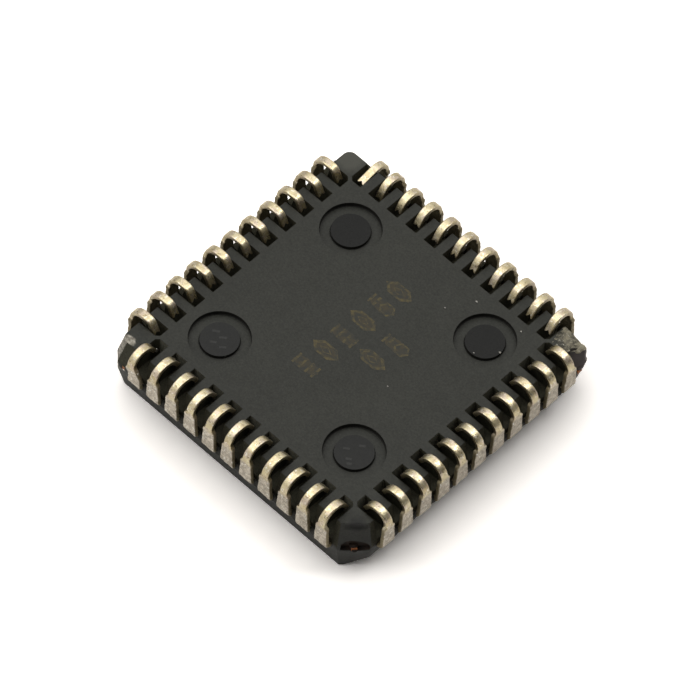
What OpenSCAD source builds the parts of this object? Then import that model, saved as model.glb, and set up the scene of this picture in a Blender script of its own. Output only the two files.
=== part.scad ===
// 44-lead plastic chip carrier with J-shaped leads, lying on its marked face.
// Millimetres, +Z out of the underside. Origin: centre of the marked face.
// The pin 1 side faces +X. Pins count clockwise as seen from +Z.

/* [Moulded body] */
// Width and length of the body at its widest band
body_w = 16.58; // [16.51:0.01:16.66]
// Height from the marked face to the underside plateau
body_h = 3.75; // [3.65:0.01:3.85]
// Height of the marked half, up to the lead frame
marked_h = 1.8; // [1.7:0.01:1.9]
// Draft of the marked half's sides in degrees
marked_draft = 10; // [5:0.5:11]
// Draft of the underside half's sides in degrees
under_draft = 11; // [5:0.5:12]
// Leg of the corner chamfer next to pin 1's side
index_chamfer = 1.16; // [1.02:0.01:1.27]
// Height of the bevel along the marked edge of pin 1's side
bevel_h = 1.0; // [0.6:0.05:1.3]
// How far the three plain corners are rounded off, along the diagonal
corner_cut = 0.17; // [0.05:0.01:0.3]

/* [Lead pockets] */
// Distance from the centre to a pocket's inner end
pocket_in = 6.69; // [6.5:0.01:6.8]
// Width of a pocket
pocket_w = 0.74; // [0.65:0.01:0.85]
// Height of a pocket's floor
pocket_floor = 2.3; // [2.2:0.05:2.8]
// Width of the neck between the two pockets at a corner
corner_neck = 0.21; // [0.1:0.01:0.3]

/* [Leads] */
// Number of leads on each side
per_side = 11; // [11:1:11]
// Spacing of the leads
pitch = 1.27; // [1.27:0.01:1.27]
// Thickness of the lead frame
frame_t = 0.24; // [0.2:0.01:0.3]
// Width over the leads, from one side's outer faces to the other's
lead_span = 17.42; // [17.4:0.01:17.5]
// Height over the leads
lead_h = 4.5; // [4.4:0.01:4.57]
// Outer radius of the J bend
hook_r = 0.82; // [0.75:0.01:0.86]
// Outer radius of the bend where a lead leaves the body
foot_r = 0.4; // [0.35:0.01:0.42]
// Width of a lead's shoulder
shoulder_w = 0.8; // [0.66:0.01:0.84]
// Width of the dam bar stubs at the foot of the shoulder
stub_w = 0.9; // [0.8:0.01:0.95]
// Height where the dam bar stubs end
stub_top = 2.3; // [2.2:0.05:2.5]
// Height where the shoulder steps down to the narrow hook
shoulder_top = 3.5; // [3:0.05:3.5]
// Width of the hook
hook_w = 0.43; // [0.33:0.01:0.53]
// Height of the hook's tip
tip_z = 3.58; // [3.5:0.01:3.65]
// Depth of the V notch in the tip
notch_depth = 0.42; // [0.2:0.01:0.45]

/* [Lead frame inside the body] */
// Distance from the centre to the inner end of the lead fingers
finger_in = 3.75; // [3.6:0.05:3.9]
// Spacing of the fingers at their inner ends
finger_pitch = 0.62; // [0.5:0.01:0.64]
// Width of a finger at its inner end
finger_tip_w = 0.3; // [0.25:0.01:0.34]
// Width of a finger near the body's edge
finger_w = 0.46; // [0.4:0.01:0.5]
// Width and length of the die paddle
paddle_w = 6.7; // [6:0.1:6.8]
// How far the paddle is set below the lead frame's plane
paddle_offset = 0.2; // [0.15:0.01:0.22]
// Width of the four tie bars
tie_w = 0.3; // [0.25:0.01:0.32]
// Distance from the centre line at which two tie bars come out of a side
tie_exit = 7.5; // [7.4:0.01:7.6]

/* [Die and wires] */
// Width of the silicon die
die_w = 4.4; // [4:0.1:4.6]
// Length of the silicon die
die_l = 4; // [3.8:0.1:4.4]
// Thickness of the silicon die
die_t = 0.38; // [0.3:0.01:0.4]
// Thickness of the die attach layer
attach_t = 0.03; // [0.02:0.005:0.05]
// Spacing of the bond pads along the die's edge
pad_pitch = 0.34; // [0.3:0.01:0.36]
// Distance from the die's edge to its bond pads
pad_inset = 0.12; // [0.1:0.01:0.2]
// Thickness of a bond wire
wire_t = 0.05; // [0.04:0.005:0.06]
// Lowest point of the wire loops
wire_low = 1.2; // [1.1:0.01:1.25]

/* [Mould marks] */
// Distance of each ejector mark from the centre lines
mark_pos = 4.57; // [4.4:0.01:4.6]
// Outer diameter of an ejector mark's ring
mark_d = 3.13; // [2.9:0.01:3.2]
// Diameter of the disc inside the ring
mark_disc_d = 2; // [1.8:0.01:2.1]
// Depth of the ring
mark_depth = 0.18; // [0.1:0.01:0.25]
// How far the disc lies below the plateau
disc_sink = 0.04; // [0.02:0.01:0.08]

/* [Hidden] */
$fn = 64;
eps = 0.02;
half_w = body_w / 2;
// The widest band runs a little past both faces of the lead frame
band_lo = marked_h - 0.02;
band_hi = marked_h + frame_t + 0.02;
marked_half = half_w - band_lo * tan(marked_draft);
plateau_half = half_w - (body_h - band_hi) * tan(under_draft);
bevel_out = marked_half + bevel_h * tan(marked_draft);
bevel_in = bevel_out - bevel_h;
// Distance from the centre to the index corner's facet, at each level
index_band = (body_w - index_chamfer) / sqrt(2);
index_marked = index_band - band_lo * tan(marked_draft);
index_plateau = index_band - (body_h - band_hi) * tan(under_draft);
// Recess in the facet above the tie bar
recess_w = 1.25;
recess_h = 0.5;
recess_depth = 0.1;

outer = lead_span / 2;
inner = outer - frame_t;
frame_top = marked_h + frame_t;
hook_x = outer - hook_r;
hook_z = lead_h - hook_r;
foot_x = outer - foot_r;
foot_z = marked_h + foot_r;
root_x = half_w - 0.25;
bend_start = 7.45;
notch_w = hook_w - 0.08;

paddle_z = marked_h + paddle_offset;
attach_z = paddle_z - attach_t;
die_z = attach_z - die_t;
corner_reach = half_w * sqrt(2) - corner_cut;
tie_reach = corner_reach + 0.01;
tie_reach_index = index_band + 0.01;
tie_step = paddle_w / sqrt(2) + 0.25;

// Pin n sits on side 0 to 3, counted clockwise from the +X side
function slot_of(n) = (n + 4) % (4 * per_side);
function side_of(n) = floor(slot_of(n) / per_side);
function place_of(n) = slot_of(n) % per_side - (per_side - 1) / 2;

// Turns a piece made for the +X side to one of the four sides.
// On the +X side a piece's own +X points outwards and -Y is the way the pins count.
module on_side(side) {
    rotate([0, 0, -90 * side]) children();
}

// Extrudes an outline drawn in X and Z to a width centred on Y
module upright(width) {
    rotate([90, 0, 0])
    linear_extrude(width, center = true)
    children();
}

// Side profile of the body with its two drafts. The first side may be bevelled.
module side_profile(bevel) {
    polygon([
        [-marked_half, 0],
        [bevel ? bevel_in : marked_half, 0],
        [bevel ? bevel_out : marked_half + eps * tan(marked_draft), bevel ? bevel_h : eps],
        [half_w, band_lo],
        [half_w, band_hi],
        [plateau_half, body_h],
        [-plateau_half, body_h],
        [-half_w, band_hi],
        [-half_w, band_lo]
    ]);
}

// Everything inside the facet that cuts the index corner
module index_side() {
    rotate([0, 0, -45])
    upright(40)
    polygon([
        [-20, 0],
        [index_marked, 0],
        [index_band, band_lo],
        [index_band, band_hi],
        [index_plateau, body_h],
        [-20, body_h]
    ]);
}

// Round envelope that takes the three plain corners off
module corner_envelope() {
    marked_reach = marked_half * sqrt(2) - corner_cut;
    plateau_reach = plateau_half * sqrt(2) - corner_cut;
    rotate_extrude($fn = 128)
    polygon([
        [0, 0],
        [marked_reach, 0],
        [corner_reach, band_lo],
        [corner_reach, band_hi],
        [plateau_reach, body_h],
        [0, body_h]
    ]);
}

// Recess left in the index corner's facet where the tie bar was cut
module index_recess() {
    rotate([0, 0, -45])
    translate([index_band - recess_depth, -recess_w / 2, frame_top])
    cube([1, recess_w, recess_h]);
}

// Slot that takes the end of one hook, open to the side of the body.
// The slots at a corner lose an inner corner to the neck between them.
module pocket(place) {
    gap = corner_neck / sqrt(2);
    translate([0, 0, pocket_floor])
    linear_extrude(3)
    intersection() {
        translate([pocket_in, -place * pitch - pocket_w / 2])
        square([3, pocket_w]);
        polygon([[gap, 0], [20, gap - 20], [20, 20 - gap]]);
    }
}

// Round ejector mark: a shallow ring around a disc
module ejector_mark() {
    difference() {
        translate([0, 0, body_h - mark_depth])
        cylinder(h = 1, d = mark_d);
        translate([0, 0, body_h - mark_depth - eps])
        cylinder(h = mark_depth + eps - disc_sink, d = mark_disc_d);
    }
}

module body_block() {
    intersection() {
        upright(20) side_profile(true);
        rotate([0, 0, 90]) upright(20) side_profile(false);
        index_side();
        corner_envelope();
    }
}

// Flat part of a lead: a finger that fans in towards the die
module finger(place) {
    tip = place * finger_pitch;
    root = place * pitch;
    translate([0, 0, marked_h])
    linear_extrude(frame_t)
    polygon([
        [foot_x, -root + stub_w / 2],
        [root_x, -root + stub_w / 2],
        [root_x - 0.1, -root + finger_w / 2],
        [bend_start, -root + finger_w / 2],
        [finger_in, -tip + finger_tip_w / 2],
        [finger_in, -tip - finger_tip_w / 2],
        [bend_start, -root - finger_w / 2],
        [root_x - 0.1, -root - finger_w / 2],
        [root_x, -root - stub_w / 2],
        [foot_x, -root - stub_w / 2]
    ]);
}

// Outline of the foot bend, from flat to upright
module foot_outline() {
    translate([foot_x, foot_z])
    intersection() {
        difference() {
            circle(r = foot_r);
            circle(r = foot_r - frame_t);
        }
        translate([0, -1]) square([1, 1]);
    }
}

// Outline of the hook: half a ring and its short straight tip
module hook_outline() {
    translate([hook_x, hook_z])
    intersection() {
        difference() {
            circle(r = hook_r);
            circle(r = hook_r - frame_t);
        }
        translate([-1, 0]) square([2, 1]);
    }
    translate([hook_x - hook_r, tip_z])
    square([frame_t, hook_z - tip_z]);
}

// V notch across the end of the tip
module tip_notch() {
    translate([hook_x - hook_r - 0.2, 0, 0])
    rotate([90, 0, 90])
    linear_extrude(0.75)
    polygon([
        [-notch_w / 2, tip_z],
        [-notch_w / 2, tip_z - 0.2],
        [notch_w / 2, tip_z - 0.2],
        [notch_w / 2, tip_z],
        [0, tip_z + notch_depth]
    ]);
}

// Outer part of a lead, from the foot bend to the tip
module lead_outside() {
    upright(stub_w) foot_outline();
    translate([inner, -stub_w / 2, foot_z])
    cube([frame_t, stub_w, stub_top - foot_z]);
    translate([inner, -shoulder_w / 2, stub_top])
    cube([frame_t, shoulder_w, shoulder_top - stub_top]);
    translate([inner, -hook_w / 2, shoulder_top])
    cube([frame_t, hook_w, hook_z - shoulder_top]);
    difference() {
        upright(hook_w) hook_outline();
        tip_notch();
    }
}

module pin(n) {
    color([0.78, 0.72, 0.58])
    on_side(side_of(n))
    union() {
        finger(place_of(n));
        translate([0, -place_of(n) * pitch, 0]) lead_outside();
    }
}

// Tie bar seen from its side, with the step down to the paddle
module tie_bar(angle, reach) {
    rotate([0, 0, angle])
    upright(tie_w)
    polygon([
        [tie_step - 1.2, paddle_z],
        [tie_step, paddle_z],
        [tie_step + 0.4, marked_h],
        [reach, marked_h],
        [reach, frame_top],
        [tie_step + 0.4, frame_top],
        [tie_step, paddle_z + frame_t],
        [tie_step - 1.2, paddle_z + frame_t]
    ]);
}

// End of a tie bar that turns out to a side just before the corner
module tie_turn(side, way) {
    on_side(side)
    translate([tie_exit - tie_w / 2, way * tie_exit - tie_w / 2, marked_h])
    cube([half_w + 0.01 - tie_exit + tie_w / 2, tie_w, frame_t]);
}

module die_paddle() {
    color([0.72, 0.45, 0.3])
    union() {
        translate([-paddle_w / 2, -paddle_w / 2, paddle_z])
        cube([paddle_w, paddle_w, frame_t]);
        tie_bar(-45, tie_reach_index);
        tie_bar(135, tie_reach);
        for (angle = [45, 225]) tie_bar(angle, tie_exit * sqrt(2));
        tie_turn(0, 1);
        tie_turn(1, -1);
    }
}

module die_attach() {
    color([0.8, 0.8, 0.78])
    translate([-die_w / 2, -die_l / 2, attach_z])
    cube([die_w, die_l, attach_t]);
}

module silicon_die() {
    color([0.3, 0.32, 0.36])
    translate([-die_w / 2, -die_l / 2, die_z])
    cube([die_w, die_l, die_t]);
}

// Edge of a wire loop: a quarter ellipse off the pad, then a parabola to the finger
function loop_edge(start, low, end) = concat(
    [for (i = [0:3]) let (a = 30 * i)
        [start + 0.22 * (1 - cos(a)), die_z - (die_z - low) * sin(a)]],
    [for (i = [1:4]) let (u = i / 4)
        [start + 0.22 + u * (end - start - 0.22), low + (marked_h - low) * u * u]]
);

function reversed(points) = [for (i = [len(points) - 1:-1:0]) points[i]];

// One bond wire from a pad on the die to the face of a finger
module bond_wire(place, edge) {
    from = [edge / 2 - pad_inset, -place * pad_pitch];
    to = [finger_in + 0.16, -place * finger_pitch];
    run = norm(to - from);
    turn = atan2(to[1] - from[1], to[0] - from[0]);
    translate([from[0], from[1], 0])
    rotate([0, 0, turn])
    upright(wire_t)
    polygon(concat(
        loop_edge(-wire_t / 2, wire_low - wire_t / 2, run + wire_t),
        reversed(loop_edge(wire_t / 2, wire_low + wire_t / 2, run - wire_t))
    ));
}

module bond_wires(side) {
    edge = side % 2 == 0 ? die_w : die_l;
    color([0.9, 0.72, 0.3])
    on_side(side)
    for (i = [0:per_side - 1]) bond_wire(i - (per_side - 1) / 2, edge);
}

module moulded_body() {
    color([0.26, 0.26, 0.25])
    difference() {
        body_block();
        for (side = [0:3]) on_side(side) {
            for (i = [0:per_side - 1]) pocket(i - (per_side - 1) / 2);
        }
        for (sx = [-1, 1]) for (sy = [-1, 1]) {
            translate([sx * mark_pos, sy * mark_pos, 0]) ejector_mark();
        }
        index_recess();
        for (n = [1:4 * per_side]) pin(n);
        die_paddle();
        die_attach();
        silicon_die();
        for (side = [0:3]) bond_wires(side);
    }
}

moulded_body();
pin(1);  // pin_01
pin(2);  // pin_02
pin(3);  // pin_03
pin(4);  // pin_04
pin(5);  // pin_05
pin(6);  // pin_06
pin(7);  // pin_07
pin(8);  // pin_08
pin(9);  // pin_09
pin(10);  // pin_10
pin(11);  // pin_11
pin(12);  // pin_12
pin(13);  // pin_13
pin(14);  // pin_14
pin(15);  // pin_15
pin(16);  // pin_16
pin(17);  // pin_17
pin(18);  // pin_18
pin(19);  // pin_19
pin(20);  // pin_20
pin(21);  // pin_21
pin(22);  // pin_22
pin(23);  // pin_23
pin(24);  // pin_24
pin(25);  // pin_25
pin(26);  // pin_26
pin(27);  // pin_27
pin(28);  // pin_28
pin(29);  // pin_29
pin(30);  // pin_30
pin(31);  // pin_31
pin(32);  // pin_32
pin(33);  // pin_33
pin(34);  // pin_34
pin(35);  // pin_35
pin(36);  // pin_36
pin(37);  // pin_37
pin(38);  // pin_38
pin(39);  // pin_39
pin(40);  // pin_40
pin(41);  // pin_41
pin(42);  // pin_42
pin(43);  // pin_43
pin(44);  // pin_44
die_paddle();
die_attach();
silicon_die();
bond_wires(0);  // bond_wires_right
bond_wires(1);  // bond_wires_front
bond_wires(2);  // bond_wires_left
bond_wires(3);  // bond_wires_back
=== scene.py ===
import random
from contextlib import contextmanager
from math import copysign, cos, degrees, exp, pi, radians, sin, sqrt, tan, tau

import bmesh
import bpy
from mathutils import Matrix, Vector, noise

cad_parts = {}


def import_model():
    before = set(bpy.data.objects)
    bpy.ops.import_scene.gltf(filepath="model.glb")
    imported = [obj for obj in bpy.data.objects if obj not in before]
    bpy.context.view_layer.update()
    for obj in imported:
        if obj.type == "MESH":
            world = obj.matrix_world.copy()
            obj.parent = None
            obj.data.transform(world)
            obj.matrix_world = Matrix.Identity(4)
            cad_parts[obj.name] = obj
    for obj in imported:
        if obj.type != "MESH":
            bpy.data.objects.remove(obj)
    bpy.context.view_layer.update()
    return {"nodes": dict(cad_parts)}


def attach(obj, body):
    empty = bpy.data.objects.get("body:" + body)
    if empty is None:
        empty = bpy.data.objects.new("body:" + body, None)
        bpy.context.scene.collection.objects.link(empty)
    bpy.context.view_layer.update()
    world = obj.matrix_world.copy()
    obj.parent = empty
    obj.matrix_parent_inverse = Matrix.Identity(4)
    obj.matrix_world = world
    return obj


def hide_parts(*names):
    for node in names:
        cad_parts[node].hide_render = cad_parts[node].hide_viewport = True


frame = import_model()
MM = 0.001

# Moulded body, in mm
PLACES = 11
MIDDLE = PLACES // 2
PITCH = 1.27
BODY_W, BODY_H = 16.58, 3.75
HALF_W = BODY_W / 2
BAND_LO, BAND_HI = 1.78, 2.06
TAN_LO, TAN_HI = tan(radians(10)), tan(radians(11))
MARKED_HALF = HALF_W - BAND_LO * TAN_LO
BEVEL_H = 1.0
BEVEL_IN = MARKED_HALF + BEVEL_H * TAN_LO - BEVEL_H
CORNER_R, CORNER_STEPS = 0.42, 8
INDEX_CUT = 1.16
INDEX_BAND = (BODY_W - INDEX_CUT) / sqrt(2)
EDGE_BEVEL = 0.085

# Pockets and ejector marks, in mm, with how far their cutters stand out of the body
POCKET_IN, POCKET_W, POCKET_FLOOR = 6.69, 0.74, 2.3
POCKET_OUT, POCKET_TOP = 9.6, 5.0
NECK = 0.15
MARK_POS, MARK_R, DISC_R = 4.57, 1.565, 1.0
MARK_DEPTH, DISC_SINK = 0.28, 0.11
MARK_TOP = 4.4

# Leads, in mm
LEAD_T = 0.24
LEAD_OUT = 8.71
LEAD_LINE = LEAD_OUT - LEAD_T / 2
LEAD_Z = 1.92
FOOT_R, FOOT_STEPS = 0.30, 8
HOOK_R, HOOK_STEPS = 0.70, 22
TIP_STEPS = 9
HOOK_Z = 3.68
STUB_HALF, SHOULDER_HALF, HOOK_HALF = 0.415, 0.40, 0.215
NOTCH_HALF = HOOK_HALF - 0.085
NOTCH_DEPTH = (0.30, 0.30, 0.15, 0.14)
FINGER_TIP, FINGER_RUN, FINGER_PITCH = 3.75, 3.7, 0.62


# Node helpers

class Nodes:
    """A node tree being built. ramp, math and vector_math give the output of a new node."""

    def __init__(self, tree):
        self.nodes, self.links = tree.nodes, tree.links

    def feed(self, socket, value):
        if isinstance(value, bpy.types.NodeSocket):
            self.links.new(value, socket)
        else:
            socket.default_value = value

    def fill(self, node, **values):
        """Feeds a node's inputs by their names, with _ for each space."""
        for name, value in values.items():
            self.feed(node.inputs[name.replace("_", " ")], value)
        return node

    def new(self, kind, **values):
        return self.fill(self.nodes.new("ShaderNode" + kind), **values)

    def ramp(self, value, low, high, out_low=0.0, out_high=1.0, kind="LINEAR"):
        node = self.new("MapRange", Value=value, From_Min=low, From_Max=high)
        self.fill(node, To_Min=out_low, To_Max=out_high)
        node.interpolation_type = kind
        return node.outputs["Result"]

    def math(self, op, a, b):
        node = self.new("Math")
        node.operation = op
        self.feed(node.inputs[0], a)
        self.feed(node.inputs[1], b)
        return node.outputs[0]

    def vector_math(self, op, a, b=(0, 0, 0)):
        node = self.new("VectorMath")
        node.operation = op
        self.feed(node.inputs[0], a)
        self.feed(node.inputs[1], b)
        return node.outputs["Value" if op in ("LENGTH", "DOT_PRODUCT") else "Vector"]


class Shader(Nodes):
    """A material being built on its Principled shader."""

    def __init__(self, name):
        self.mat = bpy.data.materials.new(name)
        self.mat.use_nodes = True
        super().__init__(self.mat.node_tree)
        self.bsdf = self.nodes["Principled BSDF"]
        self.coord = self.new("TexCoord").outputs["Object"]

    def set(self, **values):
        self.fill(self.bsdf, **values)

    def noise(self, per_mm, detail=3, rough=0.55, offset=(0, 0, 0), distortion=0.0):
        """Noise with about per_mm cells in a millimetre."""
        scale = [1000 * per_mm] * 3
        place = self.new("Mapping", Vector=self.coord, Scale=scale, Location=offset)
        node = self.new("TexNoise", Vector=place.outputs["Vector"], Scale=1)
        self.fill(node, Detail=detail, Roughness=rough, Distortion=distortion)
        return node.outputs["Fac"]

    def mix(self, fac, a, b, blend="MIX"):
        node = self.new("Mix")
        node.data_type = "RGBA"
        node.blend_type = blend
        self.feed(node.inputs["Factor"], fac)
        self.feed(node.inputs[6], colour(a) if isinstance(a, tuple) else a)
        self.feed(node.inputs[7], colour(b) if isinstance(b, tuple) else b)
        return node.outputs[2]

    def spot(self, centre, radii, ragged, per_mm, edge):
        """1 inside a ragged ellipsoid given in mm, falling to 0 over its edge."""
        away = self.vector_math("SUBTRACT", self.coord, [c * MM for c in centre])
        away = self.vector_math("DIVIDE", away, [r * MM for r in radii])
        rag = self.math("SUBTRACT", self.noise(per_mm, 4, 0.65, offset=(9, 4, 7)), 0.5)
        rag = self.math("MULTIPLY", rag, ragged * 2)
        reach = self.math("ADD", self.vector_math("LENGTH", away), rag)
        return self.ramp(reach, 1 + edge, 1 - edge)

    def attribute(self, name):
        node = self.new("Attribute")
        node.attribute_name = name
        return node.outputs["Fac"]

    def bump(self, height, depth_mm, normal=None):
        node = self.new("Bump", Height=height, Distance=depth_mm * MM, Strength=1.0)
        if normal is not None:
            self.fill(node, Normal=normal)
        return node.outputs["Normal"]


def colour(rgb):
    return (*rgb, 1.0)


# Bare or rubbed places on the compound: centre, radii in mm, how strong
WORN = (
    ((-7.58, -7.82, 3.76), (0.38, 0.28, 0.22), 1.00),
    ((-7.83, -8.03, 3.10), (0.30, 0.24, 0.62), 0.80),
    ((-8.00, -8.20, 2.35), (0.26, 0.22, 0.50), 0.70),
    ((-8.08, -8.28, 1.75), (0.28, 0.20, 0.60), 0.60),
    ((-8.05, -8.05, 1.60), (0.45, 0.45, 0.40), 0.35),
    ((-7.98, -7.98, 0.65), (0.30, 0.30, 0.60), 0.40),
    ((8.16, 8.16, 2.60), (0.16, 0.16, 0.90), 0.45),
)
# Places of another tone, some of them painted light and shade: centre, radii in mm, how strong,
# colour
TONES_AND_PAINTED_LIGHT = (
    # painted reflection: the back corner post painted lighter than the plateau
    ((-7.55, 7.55, 3.76), (0.75, 0.75, 0.30), 0.75, (0.072, 0.072, 0.058)),
    ((7.40, 7.55, 3.70), (1.05, 1.05, 0.40), 0.35, (0.050, 0.050, 0.040)),
    ((8.08, 7.66, 2.55), (0.50, 0.85, 0.95), 0.90, (0.066, 0.052, 0.049)),
    # painted shade: the dark band under the top edge of the index facet
    ((7.52, -7.42, 3.52), (0.46, 0.46, 0.31), 0.95, (0.0040, 0.0038, 0.0032)),
    # painted shade: the lower index facet darkened round the recess
    ((7.60, -7.60, 2.35), (0.75, 0.75, 0.75), 0.35, (0.010, 0.010, 0.008)),
)
# Colours of broken compound, from its shaded ground to its brightest grains
BARE_DARK, BARE_PALE = (0.13, 0.115, 0.09), (0.46, 0.43, 0.36)
BROKEN_GROUND, BROKEN_CREST = (0.038, 0.036, 0.027), (0.30, 0.27, 0.19)
BROKEN_GRAIN, BROKEN_GLINT = (0.15, 0.14, 0.105), (0.52, 0.50, 0.41)


def compound_shader(name, base, rough, grain, pit, specular, worn=(), shaded=()):
    """Moulded epoxy: fine grain, faint flow clouds, tiny pale filler specks."""
    s = Shader(name)

    def times(k):
        return tuple(c * k for c in base)

    cloud = s.noise(0.35, 4, 0.6, offset=(3, 8, 1))
    speck = s.ramp(s.noise(9, 2, 0.7), 0.66, 0.8)
    mottle = s.noise(10, 3, 0.65, offset=(6, 6, 3))
    tone = s.mix(s.ramp(cloud, 0.3, 0.7), times(0.88), times(1.12))
    tone = s.mix(s.ramp(mottle, 0.50, 0.72, 0, 0.6), tone, times(1.55))
    tone = s.mix(s.ramp(mottle, 0.50, 0.28, 0, 0.6), tone, times(0.50))
    tone = s.mix(s.math("MULTIPLY", speck, 0.3), tone, times(1.9))
    # patches of another tone; some of them are a painted reflection and painted shade
    for centre, radii, strength, shade in shaded:
        tone = s.mix(s.math("MULTIPLY", s.spot(centre, radii, 0.3, 2.5, 0.35), strength), tone, shade)
    rub = s.noise(5, 5, 0.7, offset=(2, 2, 8))
    bare = s.mix(s.ramp(rub, 0.4, 0.62), BARE_DARK, BARE_PALE)
    for centre, radii, strength in worn:
        tone = s.mix(s.math("MULTIPLY", s.spot(centre, radii, 0.4, 4.0, 0.15), strength), tone, bare)
    normal = s.bump(s.noise(26, 3, 0.7, offset=(5, 2, 9)), grain)
    normal = s.bump(s.noise(6, 4, 0.6, offset=(1, 7, 4)), pit, normal)
    sheen = s.ramp(s.noise(3, 4), 0.25, 0.75, rough - 0.06, rough + 0.08)
    s.set(Base_Color=tone, Roughness=sheen, Specular_IOR_Level=specular, Normal=normal)
    return s.mat


# Moulded epoxy: name, colour, roughness, grain and pits in mm, specular level
COMPOUND = compound_shader(
    "mould_compound", (0.0230, 0.0236, 0.0185), 0.50, 0.004, 0.006, 0.26, WORN, TONES_AND_PAINTED_LIGHT,
)
DISC = compound_shader("ejector_disc", (0.0085, 0.0088, 0.0076), 0.34, 0.0008, 0.003, 0.23)
DARK_DISC = compound_shader("ejector_disc_dark", (0.0062, 0.0064, 0.0055), 0.30, 0.0008, 0.003, 0.18)
# Painted light: a lighter brown than the compound for the shaded walls and floors of the pockets and
# for the flash on the two far sides
PAINTED_LIGHT_IN_SHADE = compound_shader("painted_light_in_shade", (0.044, 0.042, 0.028), 0.75, 0.006, 0.012, 0.15)
# Painted light: the end walls of the pockets, in the hooks' shade, painted lighter still
POCKET_END_PAINTED_LIGHT = compound_shader("pocket_end_painted_light", (0.105, 0.103, 0.080), 0.75, 0.006, 0.012, 0.15)
# Painted shade: near-black compound for the outer walls of the ejector rings and the seams round
# their discs
RING_PAINTED_SHADE = compound_shader("ring_painted_shade", (0.013, 0.0125, 0.0105), 0.60, 0.003, 0.006, 0.2)
TICK = compound_shader("ejector_tick", (0.0170, 0.0172, 0.0155), 0.40, 0.001, 0.003, 0.3)
FLASH = compound_shader("resin_flash", (0.026, 0.025, 0.020), 0.62, 0.006, 0.012, 0.2)


def scraped_shader():
    """Broken compound: chalky tan crests over a darker ground."""
    s = Shader("scraped_compound")
    coarse = s.noise(2.6, 6, 0.70, offset=(2, 5, 3), distortion=0.5)
    fine = s.noise(14, 4, 0.7, offset=(7, 1, 2))
    tone = s.mix(s.ramp(coarse, 0.42, 0.58), BROKEN_GROUND, BROKEN_CREST)
    tone = s.mix(s.ramp(fine, 0.45, 0.65, 0, 0.45), tone, BROKEN_GRAIN)
    glint = s.ramp(s.noise(7, 3, 0.6, offset=(3, 3, 3)), 0.61, 0.68)
    tone = s.mix(glint, tone, BROKEN_GLINT)
    normal = s.bump(fine, 0.03)
    s.set(Base_Color=tone, Roughness=0.72, Normal=s.bump(coarse, 0.10, normal))
    return s.mat


SCRAPED = scraped_shader()

# Colours of a used lead: its plating, the solder on its shoulder, and its cut edges, whose brown is
# also painted as shade on its inner skin
PLATING_DARK, PLATING_PALE = (0.54, 0.45, 0.27), (0.70, 0.62, 0.40)
PLATING_BROWN, PLATING_PINK = (0.40, 0.30, 0.22), (0.60, 0.50, 0.42)
SCUFFED, SCRATCHED = (0.90, 0.86, 0.76), (0.17, 0.125, 0.07)
SOLDER_DARK, SOLDER_PALE = (0.50, 0.445, 0.36), (0.80, 0.735, 0.62)
SOLDER_PIT, SOLDER_BEAD = (0.24, 0.195, 0.14), (0.90, 0.88, 0.80)
SHOULDER_DIM_TONE, CUT_EDGE_AND_SHADE = (0.50, 0.49, 0.47), (0.23, 0.19, 0.105)


def lead_shader():
    """Worn plating: satin hooks, rough solder on the shoulders, brown sides, and painted shade on the
    inner skin.
    """
    s = Shader("lead_plating")
    solder = s.attribute("solder")
    edge = s.attribute("edge")
    shoulder_dim = s.attribute("shoulder_dim")
    blotch = s.noise(1.7, 4, 0.6, offset=(4, 4, 1))
    streak = s.noise(5.0, 4, 0.6, offset=(8, 3, 5))
    fine = s.noise(16, 4, 0.7, offset=(2, 9, 6))
    hook = s.mix(s.ramp(blotch, 0.36, 0.66), PLATING_DARK, PLATING_PALE)
    hook = s.mix(s.ramp(streak, 0.54, 0.72, 0, 0.55), hook, PLATING_BROWN)
    pink = s.ramp(s.noise(2.3, 3, 0.6, offset=(1, 5, 8)), 0.50, 0.60, 0, 0.65)
    hook = s.mix(pink, hook, PLATING_PINK)
    scuff = s.noise(8, 3, 0.6, offset=(7, 7, 2), distortion=0.8)
    hook = s.mix(s.ramp(scuff, 0.57, 0.64, 0, 0.75), hook, SCUFFED)
    scratch = s.noise(7, 3, 0.6, offset=(3, 9, 9), distortion=1.2)
    hook = s.mix(s.ramp(scratch, 0.58, 0.66, 0, 0.65), hook, SCRATCHED)
    dull = s.mix(s.ramp(streak, 0.38, 0.60), SOLDER_DARK, SOLDER_PALE)
    dull = s.mix(s.ramp(fine, 0.50, 0.64, 0, 0.70), dull, SOLDER_PIT)
    bead = s.ramp(s.noise(6.5, 2, 0.5, offset=(5, 5, 9)), 0.62, 0.70)
    dull = s.mix(bead, dull, SOLDER_BEAD)
    # solder darkened by side and by pin
    dull = s.mix(shoulder_dim, dull, SHOULDER_DIM_TONE, "MULTIPLY")
    tone = s.mix(solder, hook, dull)
    # the cut edges' brown, also painted as shade over the inner skin
    tone = s.mix(edge, tone, CUT_EDGE_AND_SHADE)
    rough = s.ramp(streak, 0.3, 0.7, 0.25, 0.40)
    rough = s.math("ADD", rough, s.math("MULTIPLY", solder, 0.15))
    rough = s.math("ADD", rough, s.math("MULTIPLY", edge, 0.1))
    normal = s.bump(fine, 0.006)
    normal = s.bump(streak, 0.012, normal)
    lumps = s.math("MULTIPLY", s.noise(7, 5, 0.65, offset=(6, 2, 2), distortion=0.6), solder)
    normal = s.bump(lumps, 0.075, normal)
    s.set(Base_Color=tone, Metallic=1.0, Roughness=rough, Normal=normal)
    return s.mat


LEAD = lead_shader()


def plain_metal(name, base, dark, rough, per_mm=4.0, bump=0.003, metallic=1.0):
    """A metal or glossy solid mottled between two tones."""
    s = Shader(name)
    mottle = s.noise(per_mm, 5, 0.6)
    tone = s.mix(s.ramp(mottle, 0.35, 0.7), dark, base)
    sheen = s.ramp(mottle, 0.3, 0.7, rough - 0.08, rough + 0.1)
    s.set(Base_Color=tone, Metallic=metallic, Roughness=sheen, Normal=s.bump(mottle, bump))
    return s.mat


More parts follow.
